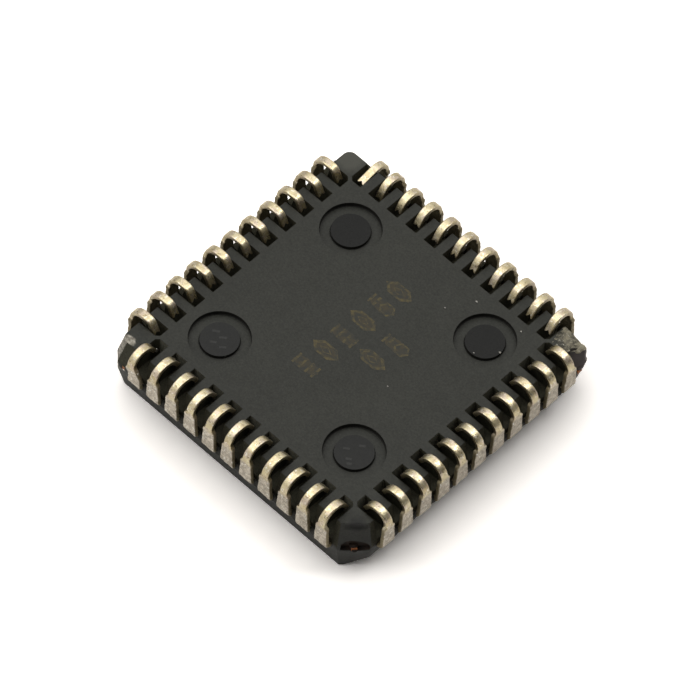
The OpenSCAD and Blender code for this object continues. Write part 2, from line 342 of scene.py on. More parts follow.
COPPER = plain_metal("copper_alloy", (0.46, 0.17, 0.05), (0.10, 0.035, 0.018), 0.42, 9.0)
SOLDER = plain_metal("solder_speck", (0.85, 0.83, 0.78), (0.55, 0.52, 0.46), 0.25)
EPOXY = plain_metal("silver_epoxy", (0.60, 0.60, 0.57), (0.42, 0.42, 0.40), 0.5, 20, 0.002, 0.6)
SILICON = plain_metal("silicon", (0.12, 0.13, 0.16), (0.08, 0.09, 0.11), 0.15, 6, 0.0005, 0.4)
GOLD = plain_metal("gold_wire", (0.95, 0.70, 0.27), (0.80, 0.55, 0.18), 0.2, 10, 0.001)


def tinted(name, base, dark, rough, per_mm, specular=0.3):
    """A thin coloured layer mottled between two tones."""
    s = Shader(name)
    mottle = s.noise(per_mm, 4, 0.65, offset=(1, 6, 2))
    tone = s.mix(s.ramp(mottle, 0.4, 0.62), dark, base)
    s.set(Base_Color=tone, Roughness=rough, Specular_IOR_Level=specular)
    s.set(Normal=s.bump(mottle, 0.003))
    return s.mat


INK = tinted("faded_ink", (0.076, 0.059, 0.020), (0.027, 0.026, 0.017), 0.5, 4.0)
INK_HAZE = tinted("ink_haze", (0.040, 0.032, 0.015), (0.0235, 0.0235, 0.0175), 0.5, 3.0)
DUST = tinted("dust", (0.42, 0.40, 0.36), (0.2, 0.19, 0.17), 0.8, 8.0)
RUST = tinted("flash_stain", (0.030, 0.018, 0.012), (0.016, 0.0125, 0.0095), 0.6, 3.0, 0.15)


# Mesh helpers

def new_object(name, data):
    """An object in the scene for a mesh, a lamp or the camera."""
    obj = bpy.data.objects.new(name, data)
    bpy.context.scene.collection.objects.link(obj)
    return obj


@contextmanager
def editing(mesh):
    """The mesh as a bmesh, written back at the end."""
    bm = bmesh.new()
    bm.from_mesh(mesh)
    yield bm
    bm.to_mesh(mesh)
    bm.free()


def ring_faces(rings, n):
    """Faces of a closed form over rings of n points each: its two ends, then its walls."""
    last = (rings - 1) * n
    faces = [tuple(range(n))[::-1], tuple(range(last, last + n))]
    for first in range(0, last, n):
        for i in range(n):
            j = (i + 1) % n
            faces.append((first + i, first + j, first + n + j, first + n + i))
    return faces


def piece(name, verts, faces, materials, slots=None, smooth_angle=40):
    """A new object from points in millimetres. slots gives each face's material."""
    mesh = bpy.data.meshes.new(name)
    mesh.from_pydata([tuple(c * MM for c in v) for v in verts], [], faces)
    for material in materials:
        mesh.materials.append(material)
    if slots:
        mesh.polygons.foreach_set("material_index", slots)
    finish_mesh(mesh, smooth_angle)
    return new_object(name, mesh)


def finish_mesh(mesh, smooth_angle):
    """Turns the faces outwards and shades them smooth up to an angle in degrees."""
    with editing(mesh) as bm:
        bmesh.ops.recalc_face_normals(bm, faces=bm.faces)
    mesh.shade_smooth()
    mesh.set_sharp_from_angle(angle=radians(smooth_angle))


def weigh_normals(obj):
    """Keeps wide flat faces flat where narrow bevels round their edges."""
    modifier = obj.modifiers.new("normals", "WEIGHTED_NORMAL")
    modifier.mode = "FACE_AREA"
    modifier.weight = 50
    modifier.keep_sharp = True
    apply_modifiers(obj)


def apply_modifiers(obj):
    bpy.context.view_layer.update()
    graph = bpy.context.evaluated_depsgraph_get()
    mesh = bpy.data.meshes.new_from_object(obj.evaluated_get(graph))
    obj.modifiers.clear()
    obj.data = mesh


def cut(obj, cutter):
    """Takes a cutter's shape out of an object, and removes the cutter."""
    modifier = obj.modifiers.new("cut", "BOOLEAN")
    modifier.operation = "DIFFERENCE"
    modifier.solver = "EXACT"
    modifier.object = cutter
    apply_modifiers(obj)
    bpy.data.objects.remove(cutter)


def side_point(side, r, l, z):
    """A point given outwards from the centre and along a side: 0 is +X, then clockwise from above."""
    a = -pi / 2 * side
    return (r * cos(a) - l * sin(a), r * sin(a) + l * cos(a), z)


def lead_offset(place):
    """Where a lead stands along its side."""
    return (MIDDLE - place) * PITCH


def seat(number):
    """The side of a pin and its place on it, from 0."""
    return divmod((number + MIDDLE - 1) % (4 * PLACES), PLACES)


def prism(outline, z0, z1):
    """Vertices and faces of an upright prism over an outline of points."""
    verts = [(x, y, z) for z in (z0, z1) for x, y in outline]
    return verts, ring_faces(2, len(outline))


def cells(rows, cols):
    """The first corner of each cell in a grid of points."""
    return [j * cols + i for j in range(rows - 1) for i in range(cols - 1)]


def joined(parts):
    """The vertices and faces of several parts in one list each."""
    verts, faces = [], []
    for part_verts, part_faces in parts:
        first = len(verts)
        verts += part_verts
        faces += [tuple(i + first for i in face) for face in part_faces]
    return verts, faces


def noise_at(point, per_mm, seed, axis):
    """Noise at a point in mm, from a field moved along one axis by its seed."""
    shift = Vector((0, 0, 0))
    shift[axis] = seed
    return noise.noise(point * per_mm + shift)


# Moulded body
BODY_LOOKS = (COMPOUND, DISC, PAINTED_LIGHT_IN_SHADE, RING_PAINTED_SHADE, RUST, SCRAPED, DARK_DISC, POCKET_END_PAINTED_LIGHT)
WELD, RING_WELD = 1e-7, 1e-8
FLAT_ANGLE, EDGE_ANGLE = 0.5, 30
SLAB = 2.2


def section(z):
    """Outline of the body at a height, counter-clockwise from the index corner."""
    if z <= BAND_LO:
        half = MARKED_HALF + z * TAN_LO
        facet = INDEX_BAND - (BAND_LO - z) * TAN_LO
    elif z <= BAND_HI:
        half, facet = HALF_W, INDEX_BAND
    else:
        half = HALF_W - (z - BAND_HI) * TAN_HI
        facet = INDEX_BAND - (z - BAND_HI) * TAN_HI
    right = BEVEL_IN + z if z < BEVEL_H else half
    reach = facet * sqrt(2)
    points = [(reach - half, -half), (right, right - reach)]
    for cx, cy, start in ((right, half, 0), (-half, half, 90), (-half, -half, 180)):
        ox, oy = cx - copysign(CORNER_R, cx), cy - copysign(CORNER_R, cy)
        for i in range(CORNER_STEPS + 1):
            a = radians(start + i * 90 / CORNER_STEPS)
            points.append((ox + CORNER_R * cos(a), oy + CORNER_R * sin(a)))
    return points


def body_block():
    levels = [0, BEVEL_H, BAND_LO, BAND_HI, BODY_H]
    verts = [(x, y, z) for z in levels for x, y in section(z)]
    return piece("body_shell", verts, ring_faces(len(levels), len(section(0))), BODY_LOOKS)


def pockets():
    """Cutters for the lead pockets; the two that meet at a corner leave a neck between them."""
    parts = []
    limit = POCKET_IN - NECK
    for side in range(4):
        for place in range(PLACES):
            mid = lead_offset(place)
            lo, hi = mid - POCKET_W / 2, mid + POCKET_W / 2
            outline = [(POCKET_IN, lo), (POCKET_OUT, lo), (POCKET_OUT, hi), (POCKET_IN, hi)]
            if place == 0:
                outline[3:] = [(hi + NECK, hi), (POCKET_IN, limit)]
            if place == PLACES - 1:
                outline[:1] = [(POCKET_IN, -limit), (-lo + NECK, lo)]
            verts, faces = prism(outline, POCKET_FLOOR, POCKET_TOP)
            parts.append(([side_point(side, *v) for v in verts], faces))
    return piece("cut_pockets", *joined(parts), [COMPOUND])


def facet_cutter(name, outline, sweep):
    """A cutter for the index corner: an outline of (out, along the facet, height) points, swept."""
    k = sqrt(0.5)
    n = len(outline)
    points = outline + [tuple(a + b for a, b in zip(p, sweep)) for p in outline]
    verts = [((r + t) * k, (t - r) * k, z) for r, t, z in points]
    faces = [tuple(range(n)), tuple(range(n, 2 * n))[::-1]]
    faces += [(i, n + i, n + (i + 1) % n, (i + 1) % n) for i in range(n)]
    return piece(name, verts, faces, [COMPOUND])


def recess():
    """The ragged recess above the cut tie bar: (along the facet, height) round its back."""
    back = INDEX_BAND - 0.22
    ragged = [
        (-0.68, 1.83), (-0.30, 1.79), (0.30, 1.80), (0.72, 1.88), (0.80, 2.10), (0.66, 2.33),
        (0.40, 2.44), (0.12, 2.50), (-0.19, 2.53), (-0.45, 2.45), (-0.66, 2.22),
    ]
    return facet_cutter("cut_recess", [(back, t, z) for t, z in ragged], (1.5, 0, 0))


def facet_step():
    """The shallow step at the top of the facet: (out, height) round its section."""
    shallow = [
        (11.3, 3.20), (10.70, 3.24), (10.60, 3.38), (10.55, 3.54), (10.56, 3.68), (10.59, 3.82),
        (11.3, 3.86),
    ]
    start, length = -0.51, 1.13
    return facet_cutter("cut_band", [(r, start, z) for r, z in shallow], (0, length, 0))


def bevel_edges(obj, width, segments):
    flat, sharp = radians(FLAT_ANGLE), radians(EDGE_ANGLE)
    with editing(obj.data) as bm:
        bmesh.ops.remove_doubles(bm, verts=bm.verts, dist=WELD)
        bmesh.ops.dissolve_limit(bm, angle_limit=flat, verts=bm.verts, edges=bm.edges)
        edges = [e for e in bm.edges if len(e.link_faces) == 2 and e.calc_face_angle(0) > sharp]
        bmesh.ops.bevel(
            bm, geom=edges, offset=width * MM, offset_type="OFFSET", segments=segments,
            profile=0.5, affect="EDGES", clamp_overlap=True, miter_outer="ARC",
        )


def ring_cutter(name, x, y, r0, r1, z0, lip, material, wall=None, count=72):
    """A ring, or a disc when r0 is 0, its lower edges eased by lip; wall is its outer wall's look."""
    lean = lip * 0.3
    profile = [(r1 - lip, z0), (r1, z0 + lip), (r1 + lean, MARK_TOP)]
    if r0:
        profile = [(r0 - lean, MARK_TOP), (r0, z0 + lip), (r0 + lip, z0)] + profile
    else:
        profile = [(0, z0)] + profile + [(0, MARK_TOP)]
    verts, faces = [], []
    n = len(profile)
    for i in range(count):
        a = tau * i / count
        verts += [(x + r * cos(a), y + r * sin(a), z) for r, z in profile]
    for i in range(count):
        j = (i + 1) % count
        for k in range(n if r0 else n - 1):
            m = (k + 1) % n
            faces.append((i * n + k, j * n + k, j * n + m, i * n + m))
    slots = [1 if wall and i % n in (3, 4) else 0 for i in range(len(faces))]
    obj = piece(name, verts, faces, [material, wall or material], slots)
    with editing(obj.data) as bm:
        bmesh.ops.remove_doubles(bm, verts=bm.verts, dist=RING_WELD)
        bmesh.ops.recalc_face_normals(bm, faces=bm.faces)
    return obj


def gouge(centre, outward, size, rough, seed, count, look):
    """A slab with a rough underside that takes the skin off a corner."""
    out = Vector(outward).normalized()
    across = out.cross(Vector((0, 0, 1))).normalized()
    up = across.cross(out)
    verts, faces = [], []
    n = count + 1
    for j in range(n):
        for i in range(n):
            u, v = (i / count - 0.5) * size[0], (j / count - 0.5) * size[1]
            p = Vector(centre) + across * u + up * v
            bump = noise_at(p, 1.6, seed, 0) + 0.5 * noise_at(p, 4.3, seed, 1)
            bump += 0.3 * noise_at(p, 9.0, seed, 2)
            verts.append(tuple(p + out * bump * rough))
    top = len(verts)
    verts += [tuple(Vector(v) + out * SLAB) for v in verts]
    for a in cells(n, n):
        faces.append((a, a + 1, a + n + 1, a + n))
        faces.append((top + a + n, top + a + n + 1, top + a + 1, top + a))
    rim = [*range(n)] + [j * n + count for j in range(1, n)]
    rim += [count * n + i for i in range(count - 1, -1, -1)]
    rim += [j * n for j in range(count - 1, 0, -1)]
    for a, b in zip(rim, rim[1:] + rim[:1]):
        faces.append((a, b, top + b, top + a))
    return piece("cut_scrape", verts, faces, [look])


# Broken places: middle, way out, size, roughness in mm, noise seed, cells along a side, look
GOUGES = (
    ((7.66, 7.50, 3.43), (0.36, 0.14, 1.0), (2.2, 2.2), 0.15, 3.0, 34, SCRAPED),
    ((7.97, 7.60, 2.72), (0.896, -0.39, 0.214), (1.5, 1.7), 0.03, 2.0, 24, COMPOUND),
    ((8.08, 7.80, 1.35), (0.93, 0.30, -0.25), (1.3, 1.7), 0.04, 6.0, 24, COMPOUND),
    ((-7.86, -7.92, 3.66), (-0.62, -0.66, 0.75), (1.3, 0.9), 0.05, 8.0, 24, SCRAPED),
    ((-8.06, -8.06, 1.75), (-0.70, -0.70, 0.0), (1.0, 1.5), 0.04, 4.0, 24, SCRAPED),
)
# Where the looks of the body change, in mm: the recess, then the walls of the pockets, which are
# painted lighter in their shade
RECESS_DEEP, RECESS_SPREAD, RECESS_SKIN = 0.6, 1.25, 0.03
RECESS_LOW, RECESS_HIGH = 1.70, 2.72
WALL_LOW, END_LOW, WALL_HIGH = 2.1, 2.35, 3.69
WALL_IN, END_OUT = 6.6, 6.72
POST_ALONG, POST_OUT = 6.76, 7.4


def zone(centre):
    """Which of the body's looks a face takes, from its middle in mm."""
    x, y, z = centre
    along = (x - y) / sqrt(2)
    if along > INDEX_BAND - RECESS_DEEP and abs(x + y) < RECESS_SPREAD:
        skin = INDEX_BAND - max(z - BAND_HI, 0) * TAN_HI - RECESS_SKIN
        if RECESS_LOW < z < RECESS_HIGH and along < skin:
            return BODY_LOOKS.index(RUST)
    r, l = max(abs(x), abs(y)), min(abs(x), abs(y))
    # painted light: the pocket end walls, shaded by the hooks
    if END_LOW < z < WALL_HIGH and WALL_IN < r < END_OUT:
        return BODY_LOOKS.index(POCKET_END_PAINTED_LIGHT)
    # painted light: the shaded walls and floors of the pockets, away from the corner posts
    on_post = l > POST_ALONG and r > POST_OUT
    if WALL_LOW < z < WALL_HIGH and r > WALL_IN and not on_post:
        return BODY_LOOKS.index(PAINTED_LIGHT_IN_SHADE)
    return BODY_LOOKS.index(COMPOUND)


def cut_mark(body, x, y):
    """One ejector mark: a ring round a disc, with a fine seam between them; the ring's outer wall and
    the seam take painted shade.
    """
    floor = BODY_H - MARK_DEPTH
    face = DARK_DISC if y > 0 else DISC
    cut(body, ring_cutter("cut_ring", x, y, DISC_R, MARK_R, floor, 0.035, COMPOUND, RING_PAINTED_SHADE))
    cut(body, ring_cutter("cut_seam", x, y, DISC_R - 0.01, DISC_R + 0.035, floor - 0.04, 0.01, RING_PAINTED_SHADE))
    cut(body, ring_cutter("cut_disc", x, y, 0, DISC_R + 0.01, BODY_H - DISC_SINK, 0.01, face))


def build_body():
    body = body_block()
    cut(body, pockets())
    cut(body, recess())
    bevel_edges(body, EDGE_BEVEL, 3)
    cut(body, facet_step())
    for place in GOUGES:
        cut(body, gouge(*place))
    looks = [p.material_index or zone([c / MM for c in p.center]) for p in body.data.polygons]
    body.data.polygons.foreach_set("material_index", looks)
    for y in (-MARK_POS, MARK_POS):
        for x in (-MARK_POS, MARK_POS):
            cut_mark(body, x, y)
    return body


body = build_body()
finish_mesh(body.data, 35)
weigh_normals(body)
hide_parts("moulded_body")
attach(body, "root")


# Small pieces on the body

def detail(obj, slot="mould_compound"):
    """A small piece of its own that belongs to the part."""
    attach(obj, "root")


def rubble(name, centre, radii, rough, seed, material, level, slot="mould_compound"):
    """A broken lump: a ball pushed in and out by several sizes of noise."""
    bm = bmesh.new()
    bmesh.ops.create_icosphere(bm, subdivisions=level, radius=1.0)
    for v in bm.verts:
        d = v.co.normalized()
        p = Vector([d[i] * radii[i] for i in range(3)])
        bump = noise_at(p, 2.6, seed, 0) + 0.6 * abs(noise_at(p, 6.0, seed, 1))
        bump += 0.3 * noise_at(p, 14.0, seed, 2)
        p *= 1 + rough * bump
        v.co = (p + Vector(centre)) * MM
    mesh = bpy.data.meshes.new(name)
    bm.to_mesh(mesh)
    bm.free()
    mesh.materials.append(material)
    finish_mesh(mesh, 50)
    detail(new_object(name, mesh), slot)


def corner_lip():
    """Compound pushed outwards at the top of the broken corner."""
    high = [
        (7.55, 7.20), (7.74, 7.22), (7.96, 7.56), (8.16, 7.90),
        (8.12, 8.03), (7.97, 8.08), (7.70, 8.03), (7.45, 7.95),
    ]
    low = [
        (7.60, 7.30), (8.14, 7.34), (8.20, 7.56), (8.25, 7.88),
        (8.19, 8.05), (8.05, 8.14), (7.80, 8.16), (7.50, 8.05),
    ]
    top, fall, levels, n = 3.24, 1.16, 9, len(high)
    verts = []
    for j in range(levels):
        f = j / (levels - 1)
        for (hx, hy), (lx, ly) in zip(high, low):
            q = Vector((hx + (lx - hx) * f, hy + (ly - hy) * f, top - fall * f))
            push = 0.025 * noise.noise(q * 4.0)
            lift = 0.08 * noise_at(q, 3.1, 4, 0) if j == 0 else 0
            verts.append((q.x + push, q.y + push, q.z + lift))
    faces = [tuple(range(n)), tuple(range((levels - 1) * n, levels * n))[::-1]]
    for first in range(0, (levels - 1) * n, n):
        for i in range(n):
            j = (i + 1) % n
            faces.append((first + i, first + n + i, first + n + j, first + j))
    slots = [1] + [0] * (len(faces) - 1)
    detail(piece("corner_lip", verts, faces, [COMPOUND, SCRAPED], slots, 30))


# Lumps: name, middle and radii in mm, roughness, noise seed, look, level of detail
LUMPS = (
    ("corner_burr_1", (7.86, 7.76, 3.20), (0.22, 0.26, 0.12), 0.5, 2.0, SCRAPED, 4),
    ("corner_burr_2", (7.36, 7.62, 3.44), (0.34, 0.20, 0.09), 0.6, 5.0, SCRAPED, 4),
    ("corner_burr_3", (7.46, 7.24, 3.44), (0.26, 0.16, 0.10), 0.7, 9.0, SCRAPED, 4),
    ("tie_smear_1", (7.57, -7.57, 2.05), (0.21, 0.21, 0.065), 0.3, 4.0, RUST, 3),
    ("tie_smear_2", (7.70, -7.70, 1.82), (0.14, 0.14, 0.055), 0.35, 6.0, RUST, 3),
    ("tie_smear_5", (8.19, 7.56, 2.06), (0.13, 0.17, 0.055), 0.3, 7.0, COMPOUND, 3),
    ("tie_smear_3", (-7.62, -8.27, 1.91), (0.12, 0.05, 0.17), 0.4, 3.0, FLASH, 3),
    ("tie_smear_4", (-7.42, -8.29, 1.80), (0.09, 0.03, 0.04), 0.4, 3.0, SOLDER, 2),
    ("solder_drop", (-6.64, -6.82, 2.85), (0.11, 0.11, 0.14), 0.3, 1.0, SOLDER, 3),
)
DUST_AT = ((1.89, 4.53), (2.73, 5.89), (3.11, -0.75), (5.45, 6.18), (5.58, 4.56), (4.70, 3.64))
DUST_SIZES = (0.034, 0.045, 0.028)


def dust():
    """Specks of dust on the plateau."""
    for k, (x, y) in enumerate(DUST_AT):
        size = DUST_SIZES[k % len(DUST_SIZES)]
        radii = (size * 1.4, size, size * 0.8)
        rubble("dust_%d" % (k + 1), (x, y, BODY_H + 0.01), radii, 0.4, 11.0 + k, DUST, 2)


corner_lip()
for lump in LUMPS:
    rubble(*lump)
dust()


# Ink and ticks, in mm
INK_SINK, INK_HEIGHT, HAZE_HEIGHT = 0.004, 0.007, 0.0055
TICK_HEIGHT = 0.014
STROKE = 0.13
SHAPE_SPAN = 0.8


def bars(name, runs, centre, z, height, material):
    """Flat strokes, each between two points in mm from a centre."""
    parts = []
    for (ax, ay), (bx, by) in runs:
        d = Vector((bx - ax, by - ay)).normalized() * STROKE / 2
        n = Vector((-d.y, d.x))
        a, b = Vector((ax, ay)), Vector((bx, by))
        corners = [(centre[0] + q.x, centre[1] + q.y) for q in (a + n, a - n, b - n, b + n)]
        parts.append(prism(corners, z, z + height))
    detail(piece(name, *joined(parts), [material]))


def outline(name, points, centre, z, height, material):
    """A flat closed stroke along a convex outline given in mm from its own middle."""
    n = len(points)
    verts = []
    for grow in (1 - STROKE / SHAPE_SPAN, 1 + STROKE / SHAPE_SPAN):
        for level in (z, z + height):
            verts += [(centre[0] + x * grow, centre[1] + y * grow, level) for x, y in points]
    faces = []
    for i in range(n):
        j = (i + 1) % n
        faces += [(i, j, n + j, n + i), (2 * n + i, 3 * n + i, 3 * n + j, 2 * n + j)]
        faces += [(n + i, n + j, 3 * n + j, 3 * n + i), (i, 2 * n + i, 2 * n + j, j)]
    detail(piece(name, verts, faces, [material]))


def polygon(half_u, half_v, count):
    """Corners of a regular polygon stretched to two half widths."""
    corners = [tau * i / count for i in range(count)]
    return [(half_u * cos(a), half_v * sin(a)) for a in corners]


def uprights(half, *places):
    """Short bars across a row at places along it."""
    return [((u, -half), (u, half)) for u in places]


def haze(x, y, z):
    """A ragged patch of thinner ink round one shape."""
    corners = []
    for c, s in polygon(1, 1, 40):
        size = 1 + 0.30 * noise.noise(Vector((x + 2.2 * c, y + 2.2 * s, 3.0)))
        corners.append((x + 0.74 * c * size, y + 0.34 * s * size))
    return prism(corners, z, z + HAZE_HEIGHT)


def ink():
    """Faded generic shapes in two rows: hexagons, lozenges and short bars."""
    eye = ([(0, polygon(0.74, 0.38, 6)), (0, polygon(0.34, 0.17, 4))], [])
    comb = ([], uprights(0.34, -0.62, -0.20, 0.22, 0.64))
    short = ([(0.36, polygon(0.40, 0.34, 6))], uprights(0.30, -0.66, -0.34))
    shapes = (
        (-0.35, 3.61, eye), (-0.37, 2.43, short), (-0.39, 1.14, eye), (-0.42, -0.15, comb),
        (-0.46, -1.39, eye), (-0.53, -2.69, comb), (1.75, 1.23, short), (1.51, -0.16, eye),
    )
    z = BODY_H - INK_SINK
    detail(piece("ink_haze", *joined([haze(x, y, z) for x, y, _ in shapes]), [INK_HAZE]))
    for k, (x, y, (rings, runs)) in enumerate(shapes):
        for j, (u, points) in enumerate(rings):
            outline("ink_%d_%d" % (k + 1, j + 1), points, (x + u, y), z, INK_HEIGHT, INK)
        if runs:
            bars("ink_bars_%d" % (k + 1), runs, (x, y), z, INK_HEIGHT, INK)


def disc_ticks():
    """Small raised bars on two of the ejector discs."""
    z = BODY_H - DISC_SINK - 0.01
    left = [
        ((-0.62, 0.10), (-0.30, 0.32)), ((-0.10, 0.05), (0.20, 0.30)),
        ((0.30, -0.35), (0.56, -0.12)), ((-0.25, -0.45), (0.02, -0.25)),
    ]
    near = [
        ((-0.55, -0.20), (-0.28, -0.02)), ((-0.05, -0.55), (0.20, -0.38)),
        ((0.18, -0.72), (0.38, -0.58)), ((-0.10, 0.45), (0.15, 0.62)),
    ]
    bars("disc_ticks_left", left, (-MARK_POS, -MARK_POS), z, TICK_HEIGHT, TICK)
    bars("disc_ticks_near", near, (MARK_POS, -MARK_POS), z, TICK_HEIGHT, TICK)


ink()
disc_ticks()

# Resin flash in mm: where it starts and ends, then how far out and how high it is on each side
FLASH_IN, FLASH_BACK, FLASH_LOW = 8.10, 8.16, 1.80
FLASH_REACH = ((8.52, 2.20), (8.50, 2.18), (8.66, 2.46), (8.66, 2.50))
FLASH_W, END_FLASH_W, END_FLASH_AT = 0.56, 0.90, 7.16
END_GAPS = ((), (), (10,), (-1,))


def flash_strip(side, mid, width, seed, tilt):
    """A ragged strip of resin between two feet: out from the body, then up to its crest."""
    rows, cols = 7, 9
    reach, crest = FLASH_REACH[side]
    shares = [i / (cols - 1) - 0.5 for i in range(cols)]
    verts = []
    for j in range(rows):
        f = j / (rows - 1)
        for u in shares:
            l = mid + u * width
            rag = noise.noise(Vector((l * 5, seed, f * 2)))
            if f < 0.5:
                r = FLASH_IN + (reach - FLASH_IN) * (f * 2) ** 0.6 + 0.05 * rag * f * 2
                z = FLASH_LOW + 0.02 * rag
            else:
                g = (f - 0.5) * 2
                r = reach + 0.05 * rag - 0.10 * g * g
                height = crest - FLASH_LOW + 0.06 * rag + tilt * u * 4
                z = FLASH_LOW + height * sin(g * pi / 2)
            verts.append(side_point(side, r, l, z))
    back = len(verts)
    verts += [side_point(side, FLASH_BACK, mid + u * width, crest - 0.12) for u in shares]
    faces = [(a, a + 1, a + cols + 1, a + cols) for a in cells(rows, cols)]
    last = (rows - 1) * cols
    for i in range(cols - 1):
        faces.append((last + i, last + i + 1, back + i + 1, back + i))
        faces.append((i, back + i, back + i + 1, i + 1))
    faces.append((*[j * cols for j in range(rows)], back))
    faces.append((back + cols - 1, *[j * cols + cols - 1 for j in range(rows - 1, -1, -1)]))
    return verts, faces


def flash():
    """Ragged resin between the feet of the leads, where the dam bars were."""
    strips, slots = [], []
    for side in range(4):
        rng = random.Random(40 + side)
        for gap in [*range(PLACES - 1), *END_GAPS[side]]:
            mid, width = lead_offset(gap + 0.5), FLASH_W
            if gap in END_GAPS[side]:
                mid, width = copysign(END_FLASH_AT, mid), END_FLASH_W
            tilt = rng.uniform(-0.03, 0.03)
            strips.append(flash_strip(side, mid, width, side * 31 + gap * 2.7, tilt))
            # the flash on the two far sides takes painted light
            slots += [1 if side > 1 else 0] * len(strips[-1][1])
    detail(piece("dam_bar_flash", *joined(strips), [FLASH, PAINTED_LIGHT_IN_SHADE], slots, 55))


flash()

# The straight inner part of a lead: outward distance and half width, in mm
INNER_RUN = ((3.75, 0.15), (5.6, 0.19), (7.45, 0.23), (7.94, 0.23), (8.04, STUB_HALF))
# Columns across a lead: in from each rounded edge in mm, then as shares of the rest
EDGE_R = 0.05
EDGE_IN = (0.0, 0.008, 0.024, EDGE_R)
MIDS = (0.11, 0.3, 0.5, 0.7, 0.89)
# Heights in mm from which a shoulder narrows, a bent lead leans and the solder fades out
WAIST_FROM, LEAN_FROM = 2.15, 2.6
COAT_FROM, COAT_TO = 3.35, 3.70


def smooth(x, a, b):
    """0 below a, 1 above b, and an even rise between them."""
    t = min(max((x - a) / (b - a), 0), 1)
    return t * t * (3 - 2 * t)


def columns(left, right):
    """Places across a lead, for the half widths of its two edges."""
    xs = [-left + e for e in EDGE_IN]
    a, b = -left + EDGE_R, right - EDGE_R
    xs += [a + (b - a) * m for m in MIDS]
    return xs + [right - e for e in reversed(EDGE_IN)]


def half_thickness(i, count):
    """Half a lead's thickness at a column, less where its edges are rounded."""
    from_edge = min(i, count - 1 - i)
    e = EDGE_IN[from_edge] if from_edge < len(EDGE_IN) else EDGE_R
    return LEAD_T / 2 - EDGE_R + sqrt(max(EDGE_R * EDGE_R - (EDGE_R - e) ** 2, 0))


def lead_path():
    """A lead's centre line up to its hook: outward distance, height, heading, half width."""
    path = [(r, LEAD_Z, 0, half) for r, half in INNER_RUN]
    for i in range(FOOT_STEPS + 1):
        heading = i * 90 / FOOT_STEPS
        a = radians(heading)
        r = LEAD_LINE - FOOT_R + FOOT_R * sin(a)
        path.append((r, LEAD_Z + FOOT_R - FOOT_R * cos(a), heading, STUB_HALF))
    z = LEAD_Z + FOOT_R + 0.05
    while z < HOOK_Z - 0.02:
        path.append((LEAD_LINE, z, 90, SHOULDER_HALF))
        z += 0.07 if z > 3.2 else 0.10
    return path


class Edges:
    """The two long edges of one lead, each with its own step, burr and waist."""

    def __init__(self, rng, seed):
        self.seed = seed
        self.tops = [3.50 + rng.uniform(-0.06, 0.05), 3.52 + rng.uniform(-0.07, 0.07)]
        self.falls = [rng.uniform(0.12, 0.26), rng.uniform(0.12, 0.30)]
        self.burrs = [rng.uniform(0, 0.022), rng.uniform(0, 0.026)]
        self.waists = [0.345 + rng.uniform(-0.015, 0.02), 0.350 + rng.uniform(-0.015, 0.02)]

    def halves(self, z, coat):
        """Both half widths at a height: stub, shoulder, then hook, with burrs below the step."""
        both = []
        edges = zip(self.tops, self.falls, self.burrs, self.waists)
        for k, (top, fall, burr, waist) in enumerate(edges):
            half = STUB_HALF + (waist - STUB_HALF) * smooth(z, WAIST_FROM, top)
            half = HOOK_HALF + (half - HOOK_HALF) * (1 - smooth(z, top, top + fall))
            half += burr * exp(-(((z - top + 0.10) / 0.09) ** 2))
            half += 0.022 * coat * noise.noise(Vector((z * 4.8, self.seed * 1.7, 5.0 * k)))
            both.append(half)
        return both


class Hook:
    """The bent end of a lead: an outer arc, a flat top, an inner arc and a straight tip."""

    def __init__(self, rise, lean, bend):
        self.rise, self.lean = rise, lean
        self.outer_r, flat, self.inner_r, last, tip = bend
        self.axis = LEAD_LINE - self.outer_r
        self.flat_end = self.axis - flat
        self.turn = radians(last - 180)
        self.top = HOOK_Z + self.outer_r
        self.flat_from = self.outer_r * pi / 2
        self.inner_from = self.flat_from + flat
        self.tip_from = self.inner_from + self.inner_r * self.turn
        self.length = self.tip_from + tip

    def at(self, s):
        """Outward distance, height and heading of the centre line at a run s past its start."""
        if s <= self.flat_from:
            a = s / self.outer_r
            r = self.axis + self.outer_r * cos(a)
            z = HOOK_Z + self.outer_r * sin(a)
            heading = 90 + degrees(a)
        elif s <= self.inner_from:
            r = self.axis - (s - self.flat_from)
            z, heading = self.top, 180
        else:
            a = min(s - self.inner_from, self.inner_r * self.turn) / self.inner_r
            left = max(s - self.tip_from, 0)
            r = self.flat_end - self.inner_r * sin(a) - left * cos(a)
            z = self.top - self.inner_r * (1 - cos(a)) - left * sin(a)
            heading = 180 + degrees(a)
        return r + self.lean, z + self.rise, heading


